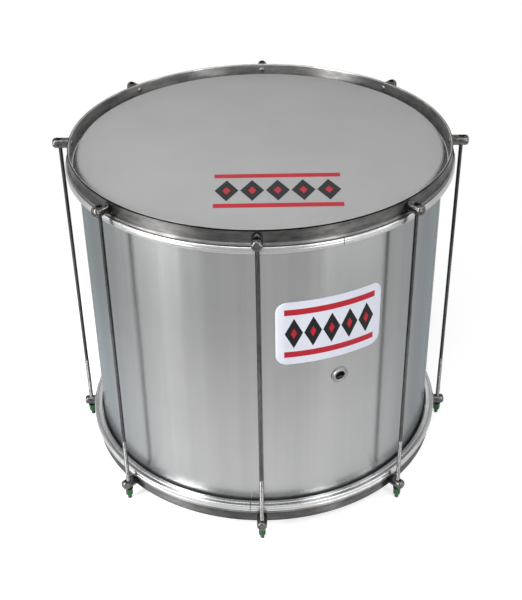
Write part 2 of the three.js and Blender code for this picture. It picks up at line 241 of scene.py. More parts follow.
# Prints of the head and the label, with shares of a lozenge's pitch and of the print's height
RED = (0.42, 0.018, 0.03)
BLACK = (0.009, 0.009, 0.012)
LOZENGES = 5
LOZENGE_SHARES = (0.47, 0.31)
EYE_SHARES = (0.16, 0.11)
BAR_SHARES = (0.38, 0.5)
HEAD_PRINT_RADIUS = 143 * MM
HEAD_PRINT_BEARING = -14.5
HEAD_PRINT_TURN = CAMERA_BEARING
HEAD_PRINT_WIDTH = 165 * MM
HEAD_PRINT_HEIGHT = 92 * MM
LABEL_MARGIN = 11 * MM

# Finishes, where a lift is painted light: how much brighter a place is painted than the rest of its
# piece
SHELL_EDGE_TINT = (0.52, 0.575, 0.6)
# Painted light: the insides of the shell, the flesh hoops and the counterhoops are painted brighter
SHELL_INSIDE_PAINTED_LIGHT = 2.5
FLESH_INSIDE_PAINTED_LIGHT = 1.35
HOOP_INSIDE_PAINTED_LIGHT = 2.2
# Painted shade on a counterhoop's free edge, a painted highlight line along its inner corner, and a
# painted highlight on its flange
RIM = 1.5 * MM
RIM_PAINTED_SHADE = 0.08
RIM_HIGHLIGHT_WIDTH = 1.1 * MM
RIM_PAINTED_HIGHLIGHT = 6
FLANGE_START = 0.6 * MM
FLANGE_PAINTED_HIGHLIGHT = 2.2
# Painted light on the studs' peened ends, which are also duller
PEEN_PAINTED_LIGHT = 1.9
PEEN_ROUGHNESS = 0.3
FILM_GLOW = 0.35
FILM_GLOW_REACH = 8 * MM
QUARTER_TURN = 0.25

# Studio, in which a strength of 1 is white
WORLD_LEVEL = 0.1
FLOOR_COLOR = (0.65, 0.65, 0.65)
FLOOR_LIFT = 0.66
FLOOR_REACH = 15
FADE_START = 0.36
FADE_END = 0.75

# Name, bearing from the camera, elevation, distance, width, height and radiance of each softbox
SOFTBOXES = [
    ("left_low", -60, -2, 1.7, 0.9, 0.36, 5),
    ("left_wide", -60, -2, 1.75, 1.9, 0.36, 3.6),
    ("left_middle", -55, 17, 1.7, 0.55, 0.4, 19),
    ("left_high", -50, 34, 1.7, 0.4, 0.4, 20),
    ("left_top", -57, 48, 1.7, 0.65, 0.4, 11),
    ("far_left", -92, 10, 1.8, 0.6, 0.5, 2),
    ("front", 0, 56, 1.8, 0.8, 0.5, 2.2),
    ("right_low", 52, -2, 1.7, 1.1, 0.36, 5),
    ("right_middle", 34, 17, 1.7, 0.4, 0.4, 10),
    ("right_high", 38, 42, 1.7, 0.5, 0.5, 8),
    ("far_right_low", 88, 8, 1.8, 0.6, 0.5, 1.6),
    ("far_right", 75, 38, 1.8, 0.6, 0.5, 4),
    ("top", -40, 75, 1.8, 0.8, 0.8, 3.2),
]


# Places


def swung(radius, angle, height):
    """The point at that distance from an axis, turned by that angle in radians from -Y to +X."""
    return (radius * math.sin(angle), -radius * math.cos(angle), height)


def turned_point(radius, bearing, height):
    """The point at that bearing and distance from the drum's axis."""
    return Vector(swung(radius, math.radians(bearing), height))


def outward(radius, bearing, height):
    """A place whose own Z points away from the drum's axis and whose own Y points up."""
    angle = math.radians(bearing)
    along = Vector((math.cos(angle), math.sin(angle), 0))
    out = Vector((math.sin(angle), -math.cos(angle), 0))
    turn = Matrix((along, Vector((0, 0, 1)), out)).transposed().to_4x4()
    return Matrix.Translation(turned_point(radius, bearing, height)) @ turn


def upright(radius, bearing, height):
    """A place whose own Z points up and whose own -Y points away from the drum's axis."""
    turn = Matrix.Rotation(math.radians(bearing), 4, "Z")
    return Matrix.Translation(turned_point(radius, bearing, height)) @ turn


# Outlines, as lists of (radius, height) points


def arc(centre, radius, start, end):
    """Points on a circle, from one angle in degrees to another."""
    angles = [math.radians(start + (end - start) * k / ARC_STEPS) for k in range(ARC_STEPS + 1)]
    return [(centre[0] + radius * math.cos(a), centre[1] + radius * math.sin(a)) for a in angles]


def dome(radius, base, rise):
    """A quarter of an ellipse, from its crown on the axis to its rim at the base."""
    angles = [math.radians(90 * k / DOME_STEPS) for k in range(DOME_STEPS + 1)]
    return [(radius * math.sin(a), base + rise * math.cos(a)) for a in angles]


def rounded(corners, steps=4):
    """An outline from (x, y, radius) corners, each turned into an arc of that radius."""
    points = []
    for i, (x, y, radius) in enumerate(corners):
        here = Vector((x, y))
        if radius <= 0:
            points.append(here)
            continue
        back = (Vector(corners[i - 1][:2]) - here).normalized()
        ahead = (Vector(corners[(i + 1) % len(corners)][:2]) - here).normalized()
        half = back.angle(ahead) / 2
        centre = here + (back + ahead).normalized() * radius / math.sin(half)
        start = here + back * radius / math.tan(half) - centre
        end = here + ahead * radius / math.tan(half) - centre
        sweep = math.atan2(start.x * end.y - start.y * end.x, start.dot(end))
        for step in range(steps + 1):
            turn = Matrix.Rotation(sweep * step / steps, 2)
            points.append(centre + turn @ start)
    return [(p.x, p.y) for p in points]


def flipped(points, edge, inwards):
    """An outline given as (radius, depth) from a hoop's edge, at that end of the drum."""
    placed = [(radius, edge + inwards * depth) for radius, depth in points]
    return placed if inwards > 0 else placed[::-1]


# Objects and meshes


def new_piece(name, data, place=None):
    """A new object of that mesh, lamp or camera."""
    piece = bpy.data.objects.new(name, data)
    bpy.context.scene.collection.objects.link(piece)
    if place is not None:
        piece.matrix_world = place
    return piece


def build(name, vertices, faces, coordinates=None):
    """A smooth mesh with, if they are given, one (u, v) for each vertex."""
    mesh = bpy.data.meshes.new(name)
    mesh.from_pydata([tuple(v) for v in vertices], [], faces)
    if coordinates:
        layer = mesh.uv_layers.new(name="UVMap")
        for loop in mesh.loops:
            layer.data[loop.index].uv = coordinates[loop.vertex_index]
    mesh.shade_smooth()
    mesh.validate()
    return mesh


def soften(piece):
    """Keeps flat faces flat beside small rounded edges."""
    piece.data.set_sharp_from_angle(angle=math.radians(SHARP_ANGLE))
    weighted = piece.modifiers.new("weighted", "WEIGHTED_NORMAL")
    weighted.keep_sharp = True
    return piece


def bevelled(piece):
    """Rounds the piece's sharp edges."""
    bevel = piece.modifiers.new("bevel", "BEVEL")
    bevel.width = CORNER_BEVEL
    bevel.segments = BEVEL_STEPS
    bevel.limit_method = "ANGLE"
    bevel.angle_limit = math.radians(BEVEL_ANGLE)
    bevel.harden_normals = True
    return piece


def strip(first, second):
    """The faces between two closed rings of as many vertices."""
    ahead = zip(first[1:] + first[:1], second[1:] + second[:1])
    return [[a, b, c, d] for (a, d), (b, c) in zip(zip(first, second), ahead)]


def lathe(name, profile, segments=RING_SEGMENTS, is_closed=True):
    """A (radius, height) profile turned about Z. An open one starts and ends on the axis."""
    vertices, faces, columns = [], [], []
    for i in range(segments):
        angle = 2 * math.pi * i / segments
        column = []
        for j, (radius, height) in enumerate(profile):
            if radius < NEARLY_ZERO and i > 0:
                column.append(columns[0][j])
                continue
            column.append(len(vertices))
            vertices.append(swung(radius, angle, height))
        columns.append(column)
    count = len(profile)
    for i in range(segments):
        here, ahead = columns[i], columns[(i + 1) % segments]
        for j in range(count if is_closed else count - 1):
            k = (j + 1) % count
            ring = [here[j], ahead[j], ahead[k], here[k]]
            corners = [c for n, c in enumerate(ring) if c != ring[n - 1]]
            if len(corners) > 2:
                faces.append(corners)
    return build(name, vertices, faces)


def split_ring(name, profile, gap_bearing, gap, radius):
    """A closed profile turned about Z, with a saw cut at one bearing, that wide at that radius."""
    cut = gap / radius
    start = math.radians(gap_bearing) + cut / 2
    count = len(profile)
    vertices, faces = [], []
    for i in range(RING_SEGMENTS + 1):
        angle = start + (2 * math.pi - cut) * i / RING_SEGMENTS
        vertices += [swung(r, angle, z) for r, z in profile]
    for i in range(RING_SEGMENTS):
        near, far = i * count, (i + 1) * count
        for j in range(count):
            k = (j + 1) % count
            faces.append([near + j, far + j, far + k, near + k])
    faces.append(list(range(count)))
    faces.append([RING_SEGMENTS * count + j for j in reversed(range(count))])
    return build(name, vertices, faces)


def combine(mesh, other, operation):
    """The mesh with another one cut away from it, or only where both are."""
    body, tool = new_piece("body", mesh), new_piece("tool", other)
    boolean = body.modifiers.new("combine", "BOOLEAN")
    boolean.operation = operation
    boolean.solver = "EXACT"
    boolean.object = tool
    graph = bpy.context.evaluated_depsgraph_get()
    made = bpy.data.meshes.new_from_object(body.evaluated_get(graph))
    made.name = mesh.name
    for old in (body, tool):
        data = old.data
        bpy.data.objects.remove(old)
        bpy.data.meshes.remove(data)
    return made


def drill(radius, low, high):
    """A cylinder on Z, to cut a round hole with."""
    profile = [(0, low), (radius, low), (radius, high), (0, high)]
    return lathe("drill", profile, HOLE_SEGMENTS, is_closed=False)


# The shell


def shell_profile():
    """The shell's wall as a closed outline, from its lower lip up the outside and down the inside.

    After it come the places in it where the rows round the vent start, outside and inside, and
    the place where its outside ends.
    """
    rows = [VENT_HEIGHT + PATCH_REACH * k / VENT_PATCH for k in range(-VENT_PATCH, VENT_PATCH + 1)]
    lip = SHELL_RADIUS - LIP_WIDTH
    inner_edge = EDGE_RADIUS - SHELL_WALL
    low = (SHELL_RADIUS - EDGE_RADIUS, SHELL_BOTTOM + EDGE_RADIUS)
    high = (SHELL_RADIUS - EDGE_RADIUS, SHELL_TOP - EDGE_RADIUS)
    lower = [(lip, SHELL_BOTTOM), *arc(low, EDGE_RADIUS, -90, 0)]
    outer_rows = [(SHELL_RADIUS, z) for z in rows]
    outside = [*lower, *outer_rows, *arc(high, EDGE_RADIUS, 0, 90)]
    upper = [(lip, SHELL_TOP), (lip, SHELL_TOP - SHELL_WALL), *arc(high, inner_edge, 90, 0)]
    inner_rows = [(SHELL_RADIUS - SHELL_WALL, z) for z in reversed(rows)]
    end = [*arc(low, inner_edge, 0, -90), (lip, SHELL_BOTTOM + SHELL_WALL)]
    profile = [*outside, *upper, *inner_rows, *end]
    return profile, len(lower), len(outside) + len(upper), len(outside)


def seam_slope():
    """The width of one slope of the seam's groove, in degrees, which is half that of its floor."""
    return math.degrees(SEAM_GAP / SHELL_RADIUS) / 2


def shell_bearings():
    """The bearings of the shell's columns, once round from the seam."""
    slope = seam_slope()
    half = SHELL_COLUMNS // 2
    regular = [360 / SHELL_COLUMNS * i for i in range(1 - half, half)]
    after = [-SEAM_BEARING + slope * k for k in range(3)]
    before = [SEAM_BEARING - slope * k for k in (2, 1)]
    return [*after, *regular, *before]


def seam_depth(bearing):
    """How deep the seam's groove is at that bearing."""
    slopes_away = (SEAM_BEARING - abs(bearing)) / seam_slope()
    return SEAM_DEPTH * max(0, min(1, 2 - slopes_away))


def square_rim(reach):
    """The whole-numbered places round a square, anticlockwise from its lower left corner."""
    side = range(-reach, reach)
    lower, right = [(k, -reach) for k in side], [(reach, k) for k in side]
    upper, left = [(-k, reach) for k in side], [(-reach, -k) for k in side]
    return [*lower, *right, *upper, *left]


def shell_mesh():
    """The rolled shell, with its turned-in bearing edges, its seam and the hole for the vent."""
    profile, outer_start, inner_start, outside = shell_profile()
    bearings = shell_bearings()
    count = len(profile)
    vertices = []
    for bearing in bearings:
        sunk = seam_depth(bearing)
        for j, (radius, height) in enumerate(profile):
            vertices.append(turned_point(radius - sunk * (j < outside), bearing, height))
    front = bearings.index(0)
    patch_columns = range(front - VENT_PATCH, front + VENT_PATCH)
    patch_rows = [start + k for start in (outer_start, inner_start) for k in range(2 * VENT_PATCH)]
    faces = []
    for i in range(len(bearings)):
        ahead = (i + 1) % len(bearings)
        for j in range(count):
            k = (j + 1) % count
            if i not in patch_columns or j not in patch_rows:
                faces.append([i * count + j, ahead * count + j, ahead * count + k, i * count + k])
    rims = []
    for start, step, radius in ((outer_start, 1, SHELL_RADIUS),
                                (inner_start, -1, SHELL_RADIUS - SHELL_WALL)):
        places = square_rim(VENT_PATCH)
        rim = [(front + x) * count + start + VENT_PATCH + step * y for x, y in places]
        for share in HOLE_RING_SHARES:
            narrower = []
            for x, y in places:
                square = Vector((x, y)) / VENT_PATCH * PATCH_REACH
                point = square.lerp(square.normalized() * VENT_HOLE, share)
                narrower.append(len(vertices))
                bearing = math.degrees(point.x / SHELL_RADIUS)
                vertices.append(turned_point(radius, bearing, VENT_HEIGHT + point.y))
            faces += strip(rim, narrower) if step > 0 else strip(narrower, rim)
            rim = narrower
        rims.append(rim)
    faces += strip(*rims)
    return build("shell", vertices, faces)


def rivet_mesh():
    """A rivet of the seam. Its own Z points out of the shell, with zero on the shell's surface."""
    inside = -SHELL_WALL - RIVET_GRIP
    crown = dome(RIVET_RADIUS, RIVET_SEAT + RIVET_EDGE, RIVET_RISE)
    profile = [
        (0, inside - RIVET_TAIL_HEIGHT),
        (RIVET_TAIL_RADIUS, inside - RIVET_TAIL_HEIGHT),
        (RIVET_TAIL_RADIUS, inside),
        (RIVET_SHANK, inside),
        (RIVET_SHANK, RIVET_SEAT),
        (RIVET_RADIUS, RIVET_SEAT),
        *reversed(crown),
    ]
    return lathe("seam_rivet", profile, RIVET_SEGMENTS, is_closed=False)


def eyelet_mesh():
    """The vent's eyelet. Its own Z points out of the shell, with zero on the shell's surface."""
    inside = -SHELL_WALL - EYELET_GRIP
    lip_end = inside - EYELET_LIP_THICKNESS
    profile = rounded([
        (EYELET_BORE, lip_end, EYELET_LIP_ROUND),
        (EYELET_LIP, lip_end, EYELET_LIP_ROUND),
        (EYELET_LIP, inside, EYELET_LIP_ROUND),
        (EYELET_BARREL, inside, EYELET_BARREL_ROUND),
        (EYELET_BARREL, EYELET_SEAT, EYELET_SEAT_ROUND),
        (EYELET_FLANGE, EYELET_SEAT, EYELET_FLANGE_FOOT_ROUND),
        (EYELET_FLANGE, EYELET_FLANGE_TOP, EYELET_FLANGE_ROUND),
        (EYELET_RIM_FOOT, EYELET_RIM_FOOT_TOP, EYELET_RIM_FOOT_ROUND),
        (EYELET_RIM, EYELET_RIM_TOP, EYELET_RIM_ROUND),
        (EYELET_BORE, EYELET_RIM_TOP, EYELET_BORE_ROUND),
    ], steps=6)
    return lathe("vent_eyelet", profile, TURNED_SEGMENTS)


def label_mesh():
    """A rounded rectangle of vinyl, bent round the shell, with (u, v) in metres from its middle."""
    straight = LABEL_HEIGHT / 2 - LABEL_CORNER
    turns = [math.pi / 2 * k / LABEL_CORNER_ROWS for k in range(LABEL_CORNER_ROWS + 1)]
    upper = [straight + LABEL_CORNER * math.cos(turn) for turn in reversed(turns)]
    rows = [*[-v for v in reversed(upper)], 0, *upper]
    vertices, faces, coordinates = [], [], []
    for v in rows:
        past = max(0, abs(v) - straight)
        drop = LABEL_CORNER - math.sqrt(max(0, LABEL_CORNER ** 2 - past ** 2))
        for i in range(LABEL_COLUMNS + 1):
            u = (LABEL_WIDTH / 2 - drop) * (2 * i / LABEL_COLUMNS - 1)
            bearing = LABEL_BEARING + math.degrees(u / SHELL_RADIUS)
            vertices.append(turned_point(SHELL_RADIUS + LABEL_GAP, bearing, LABEL_CENTRE + v))
            coordinates.append((u, v))
    wide = LABEL_COLUMNS + 1
    for row in range(len(rows) - 1):
        for i in range(LABEL_COLUMNS):
            low, high = row * wide + i, (row + 1) * wide + i
            faces.append([low, low + 1, high + 1, high])
    return build("shell_label", vertices, faces, coordinates)


# Hoops and heads


def head_profile(edge, inwards):
    """The film: flat, bent over the bearing edge, and down behind the flesh hoop."""
    centre = (SHELL_RADIUS - EDGE_RADIUS, HEAD_DEPTH + FILM + SEAT_GAP + EDGE_RADIUS)
    outer = EDGE_RADIUS + SEAT_GAP + FILM
    bent = HEAD_BEND - 90
    tuck = FLESH_INNER - SEAT_GAP
    end = FLESH_NEAR + FILM_TUCK
    flat = [0, *[SHELL_RADIUS * share for share in HEAD_RING_SHARES]]
    points = [
        *[(r, HEAD_DEPTH) for r in flat],
        *arc(centre, outer, -90, bent),
        (tuck, FLESH_NEAR),
        (tuck, end),
        (tuck - FILM, end),
        (tuck - FILM, FLESH_NEAR),
        *arc(centre, outer - FILM, bent, -90),
        *[(r, HEAD_DEPTH + FILM) for r in reversed(flat)],
    ]
    return flipped(points, edge, inwards)


def flesh_profile(edge, inwards):
    """A rounded bar. Its outer face has a fine line, and the one towards mid-drum a groove."""
    centre = (FLESH_INNER + FLESH_OUTER) / 2
    line = (FLESH_NEAR + FLESH_FAR) / 2 - LINE_OFFSET
    floor = FLESH_FAR - GROOVE_DEPTH
    corners = [
        (FLESH_OUTER, FLESH_NEAR, FLESH_ROUND),
        (FLESH_OUTER, line - LINE_WIDTH / 2, LINE_EDGE_ROUND),
        (FLESH_OUTER - LINE_DEPTH, line, LINE_FLOOR_ROUND),
        (FLESH_OUTER, line + LINE_WIDTH / 2, LINE_EDGE_ROUND),
        (FLESH_OUTER, FLESH_FAR, FLESH_ROUND),
        (centre + GROOVE_WIDTH / 2, FLESH_FAR, GROOVE_EDGE_ROUND),
        (centre + GROOVE_FLOOR / 2, floor, GROOVE_FLOOR_ROUND),
        (centre - GROOVE_FLOOR / 2, floor, GROOVE_FLOOR_ROUND),
        (centre - GROOVE_WIDTH / 2, FLESH_FAR, GROOVE_EDGE_ROUND),
        (FLESH_INNER, FLESH_FAR, FLESH_INNER_ROUND),
        (FLESH_INNER, FLESH_NEAR, FLESH_ROUND),
    ]
    return flipped(rounded(corners, steps=6), edge, inwards)


def counterhoop_profile(edge, inwards):
    """An upright band whose outward flange presses on the flesh hoop."""
    corners = [
        (HOOP_INNER, 0, HOOP_EDGE_ROUND),
        (HOOP_OUTER, 0, HOOP_EDGE_ROUND),
        (HOOP_OUTER, FLANGE_TOP, FLANGE_FILLET),
        (FLANGE_RADIUS, FLANGE_TOP, FLANGE_NEAR_ROUND),
        (FLANGE_RADIUS, HOOP_HEIGHT, FLANGE_FAR_ROUND),
        (HOOP_INNER, HOOP_HEIGHT, HOOP_FOOT_ROUND),
    ]
    return flipped(rounded(corners), edge, inwards)


# Tension gear


def lug_mesh(is_top):
    """A turned stud, cross-drilled for the rod. Its own Z is its axis, with the rod at zero."""
    peen_seat = HOOP_INNER - ROD_CIRCLE
    foot = HOOP_OUTER - ROD_CIRCLE
    tip = LUG_TIP - ROD_CIRCLE
    stud = rounded([
        (0, foot, 0),
        (LUG_RADIUS, foot, LUG_FOOT_ROUND),
        (LUG_RADIUS, tip, LUG_TIP_ROUND),
        (0, tip, 0),
    ], steps=10)
    profile = [*dome(PEEN_RADIUS, peen_seat, -PEEN_RISE), (LUG_SHANK, peen_seat), *stud[1:]]
    name = "top_lug" if is_top else "bottom_lug"
    body = lathe(name, profile, TURNED_SEGMENTS, is_closed=False)
    end = LUG_RADIUS + OVERRUN
    holes = [(ROD_HOLE, -end)]
    if is_top:
        holes.append((HEAD_HOLE, LUG_RADIUS - HEAD_RECESS))
    for radius, start in holes:
        hole = drill(radius, start, end)
        hole.transform(Matrix.Rotation(math.radians(-90), 4, "X"))
        body = combine(body, hole, "DIFFERENCE")
    return body


def thread_radius(height, turn):
    """How far the thread lies from the rod's axis at that height and that share of a turn."""
    fade = min(1, (THREAD_TOP - height) / THREAD_FADE)
    wave = abs(2 * ((height / THREAD_PITCH - turn) % 1) - 1)
    cut = THREAD_RADIUS - THREAD_DEPTH * min(1, THREAD_SLOPE * wave) * fade
    chamfer = THREAD_RADIUS - ROD_END_CHAMFER + height
    return min(chamfer, cut) * fade + ROD_RADIUS * (1 - fade)


def rod_mesh():
    """A rod with a real screw thread on its lower part and a low round head on top."""
    turns = [side / ROD_SIDES for side in range(ROD_SIDES)]
    rows = round(THREAD_TOP / THREAD_PITCH * ROWS_PER_PITCH)
    seat = ROD_TOP - ROD_HEAD_HEIGHT
    head = rounded([
        (ROD_RADIUS, seat, 0),
        (ROD_HEAD_RADIUS, seat, ROD_HEAD_FOOT_ROUND),
        (ROD_HEAD_RADIUS, ROD_TOP, ROD_HEAD_ROUND),
        (0, ROD_TOP, 0),
    ], steps=5)
    vertices = [(0, 0, 0)]
    for row in range(rows + 1):
        height = THREAD_TOP * row / rows
        vertices += [swung(thread_radius(height, t), 2 * math.pi * t, height) for t in turns]
    for radius, height in [(ROD_RADIUS, THREAD_TOP + THREAD_PITCH), *head[:-1]]:
        vertices += [swung(radius, 2 * math.pi * t, height) for t in turns]
    vertices.append((0, 0, ROD_TOP))
    top = len(vertices) - 1
    rings = [list(range(start, start + ROD_SIDES)) for start in range(1, top, ROD_SIDES)]
    faces = [[0, b, a] for a, b in zip(rings[0], rings[0][1:] + rings[0][:1])]
    for low, high in zip(rings, rings[1:]):
        faces += strip(low, high)
    faces += [[a, b, top] for a, b in zip(rings[-1], rings[-1][1:] + rings[-1][:1])]
    return build("tension_rod", vertices, faces)


def nut_mesh():
    """A tall hexagon nut with a chamfered top and a rounded lower end. Its top is at zero."""
    corner = NUT_FLATS / math.sqrt(3)
    hexagon = [(0, -NUT_HEIGHT), (corner, -NUT_HEIGHT), (corner, 0), (0, 0)]
    turned = rounded([
        (0, -NUT_HEIGHT, 0),
        (corner - NUT_END_INSET, -NUT_HEIGHT, NUT_END_ROUND),
        (corner + NUT_CORNER_GAP, -NUT_HEIGHT * NUT_WAIST_SHARE, NUT_WAIST_ROUND),
        (corner + NUT_CORNER_GAP, -NUT_CHAMFER_HEIGHT, 0),
        (corner - NUT_CHAMFER_WIDTH, 0, 0),
        (0, 0, 0),
    ], steps=6)
    prism = lathe("tension_nut", hexagon, NUT_SIDES, is_closed=False)
    outline = lathe("turned", turned, TURNED_SEGMENTS, is_closed=False)
    bore = drill(NUT_BORE, -NUT_HEIGHT - OVERRUN, OVERRUN)
    return combine(combine(prism, outline, "INTERSECT"), bore, "DIFFERENCE")


def washer_mesh():
    """A flat ring with softened edges. Its top is at zero."""
    profile = rounded([
        (ROD_HOLE, -WASHER_THICKNESS, WASHER_HOLE_ROUND),
        (WASHER_RADIUS, -WASHER_THICKNESS, WASHER_ROUND),
        (WASHER_RADIUS, 0, WASHER_ROUND),
        (ROD_HOLE, 0, WASHER_HOLE_ROUND),
    ], steps=3)
    return lathe("nut_washer", profile, HOLE_SEGMENTS)


# Materials


def add_node(tree, kind, **settings):
    made = tree.nodes.new("ShaderNode" + kind)
    for key, value in settings.items():
        setattr(made, key, value)
    return made


class Shader:
    """A principled material and the few kinds of node that its colour and relief are made of."""

    def __init__(self, name, color, roughness, metallic=0.0):
        self.material = bpy.data.materials.new(name)
        self.material.use_nodes = True
        self.tree = self.material.node_tree
        self.surface = self.tree.nodes["Principled BSDF"]
        self.set("Base Color", (*color, 1))
        self.set("Roughness", roughness)
        self.set("Metallic", metallic)

    def set(self, socket, value):
        self.put(self.surface.inputs[socket], value)

    def put(self, socket, value):
        if isinstance(value, bpy.types.NodeSocket):
            self.tree.links.new(value, socket)
        else:
            socket.default_value = value

    def math(self, operation, *values):
        made = add_node(self.tree, "Math", operation=operation)
        for socket, value in zip(made.inputs, values):
            self.put(socket, value)
        return made.outputs[0]

    def plus(self, first, second):
        return self.math("ADD", first, second)

    def minus(self, first, second):
        return self.math("SUBTRACT", first, second)

    def times(self, first, second):
        return self.math("MULTIPLY", first, second)

    def below(self, value, limit):
        """One where the value is below the limit, else nothing."""
        return self.math("LESS_THAN", value, limit)

    def above(self, value, limit):
        """One where the value is above the limit, else nothing."""
        return self.math("GREATER_THAN", value, limit)

    def length(self, x, y):
        return self.math("SQRT", self.plus(self.math("POWER", x, 2.0), self.math("POWER", y, 2.0)))

    def place(self, kind="Object"):
        return add_node(self.tree, "TexCoord").outputs[kind]

    def split(self, vector):
        made = add_node(self.tree, "SeparateXYZ")
        self.put(made.inputs[0], vector)
        return made.outputs

    def join(self, x, y, z=0.0):
        made = add_node(self.tree, "CombineXYZ")
        for socket, value in zip(made.inputs, (x, y, z)):
            self.put(socket, value)
        return made.outputs[0]

    def stretched(self, vector, scale):
        made = add_node(self.tree, "Mapping")
        self.put(made.inputs["Vector"], vector)
        self.put(made.inputs["Scale"], scale)
        return made.outputs[0]

    def noise(self, vector, scale=1.0, detail=3.0, roughness=0.5):
        made = add_node(self.tree, "TexNoise")
        self.put(made.inputs["Vector"], vector)
        self.put(made.inputs["Scale"], scale)
        self.put(made.inputs["Detail"], detail)
        self.put(made.inputs["Roughness"], roughness)
        return made.outputs["Fac"]

    def spread(self, value, low, high, to_low, to_high):
        """The value's range from low to high, spread over another range."""
        made = add_node(self.tree, "MapRange")
        for socket, given in zip(made.inputs, (value, low, high, to_low, to_high)):
            self.put(socket, given)
        return made.outputs[0]

    def mix(self, factor, first, second):
        """A blend of two colours, each a (red, green, blue) or another node's output."""
        made = add_node(self.tree, "Mix", data_type="RGBA")
        for index, value in ((0, factor), (6, first), (7, second)):
            self.put(made.inputs[index], (*value, 1) if isinstance(value, tuple) else value)
        return made.outputs[2]

    def tint(self, value, low, high, first, second):
        """The first colour where the value is low, the second where it is high."""
        return self.mix(self.spread(value, low, high, 0, 1), first, second)

    def scaled(self, color, factor):
        made = add_node(self.tree, "VectorMath", operation="SCALE")
        self.put(made.inputs[0], color)
        self.put(made.inputs["Scale"], factor)
        return made.outputs[0]

    def bump(self, height, distance, strength):
        made = add_node(self.tree, "Bump")
        self.put(made.inputs["Height"], height)
        self.put(made.inputs["Distance"], distance)
        self.put(made.inputs["Strength"], strength)
        self.set("Normal", made.outputs[0])

    def around(self):
        """Texture places in metres: round the drum's axis, away from it and along it."""
        x, y, z = self.split(self.place())
        bearing = self.math("ARCTAN2", x, self.times(y, -1.0))
        return self.join(self.times(bearing, SHELL_RADIUS), self.length(x, y), z)

    def brush_round(self, strength):
        """Brushes the metal round its own Z axis, so that highlights stretch across the hairs."""
        tangent = add_node(self.tree, "Tangent", direction_type="RADIAL", axis="Z")
        self.set("Tangent", tangent.outputs[0])
        self.set("Anisotropic", strength)
        self.set("Anisotropic Rotation", QUARTER_TURN)


def shell_aluminium():
    """Bright rolled sheet, polished round the drum, with faint upright bands and waves."""
    s = Shader("polished_aluminium", (0.302, 0.303, 0.304), 0.18, 1.0)
    s.set("Specular Tint", (*SHELL_EDGE_TINT, 1))
    s.brush_round(1.0)
    place = s.around()
    hairs = s.noise(s.stretched(place, (12, 400, 2600)), detail=2)
    bands = s.noise(s.stretched(place, (26, 1, 0.6)), detail=2)
    streaks = s.noise(s.stretched(place, (95, 1, 1.2)), detail=4, roughness=0.6)
    clouds = s.noise(s.stretched(place, (9, 9, 9)))
    waves = s.noise(s.stretched(place, (7, 7, 4)), detail=1)
    broad = s.plus(s.times(bands, 0.35), s.times(clouds, 0.3))
    tone = s.plus(broad, s.times(streaks, 0.35))
    color = s.tint(tone, 0.38, 0.62, (0.28, 0.281, 0.282), (0.316, 0.317, 0.318))
    # The inside is painted brighter: painted light for the inside of the drum
    is_inside = s.below(s.split(place)[1], SHELL_RADIUS - SHELL_WALL / 2)
    s.set("Base Color", s.scaled(color, s.spread(is_inside, 0, 1, 1, SHELL_INSIDE_PAINTED_LIGHT)))
    s.set("Roughness", s.spread(s.plus(hairs, clouds), 0.7, 1.3, 0.175, 0.19))
    relief = s.plus(s.times(waves, 60.0), s.times(streaks, 2.5))
    s.bump(s.plus(relief, hairs), 0.004 * MM, 0.5)
    return s.material


def hoop_painted_light(s, place, lift):
    """A counterhoop's painted light: painted shade on its edge but for a painted highlight line, and
    a painted highlight on its flange.
    """
    _, radius, height = s.split(place)
    # Painted shade on the free edge, but for a painted highlight line along its inner corner
    low_rim = s.below(height, BOTTOM_EDGE + RIM)
    at_rim = s.math("MAXIMUM", low_rim, s.above(height, TOP_EDGE - RIM))
    highlight_line = s.below(radius, HOOP_INNER + RIM_HIGHLIGHT_WIDTH)
    lift = s.mix(at_rim, lift, s.spread(highlight_line, 0, 1, RIM_PAINTED_SHADE, RIM_PAINTED_HIGHLIGHT))
    # A painted highlight on the flange
    on_flange = s.above(radius, HOOP_OUTER + FLANGE_START)
    return s.times(lift, s.spread(on_flange, 0, 1, 1, FLANGE_PAINTED_HIGHLIGHT))


def brushed_ring(name, colors, roughness, brushing, inside_painted_light=1.0, has_painted_rim_light=False):
    """A ring brushed along its length, with patches and scratches. Its inside may be painted brighter
    as painted light, and a counterhoop gets painted shade and highlights on its edge and flange.
    """
    s = Shader(name, colors[1], roughness, 1.0)
    s.brush_round(brushing)
    place = s.around()
    hairs = s.noise(s.stretched(place, (25, 3000, 3000)), detail=2)
    scratches = s.noise(s.stretched(place, (18, 700, 700)), roughness=0.7)
    patches = s.noise(s.stretched(place, (38, 90, 90)), detail=4, roughness=0.65)
    tone = s.plus(s.times(patches, 0.6), s.times(scratches, 0.4))
    # The inside may be painted brighter: painted light on the inner face
    is_inside = s.below(s.split(place)[1], middle((HOOP_INNER, HOOP_OUTER)))
    lift = s.spread(is_inside, 0, 1, 1, inside_painted_light)
    if has_painted_rim_light:
        lift = hoop_painted_light(s, place, lift)
    s.set("Base Color", s.scaled(s.tint(tone, 0.38, 0.62, *colors), lift))
    broad = s.spread(patches, 0.3, 0.7, roughness + 0.05, roughness - 0.05)
    s.set("Roughness", s.plus(broad, s.spread(hairs, 0.3, 0.7, -0.03, 0.03)))
    s.bump(s.plus(hairs, s.times(scratches, 0.7)), 0.04 * MM, 0.5)
    return s.material


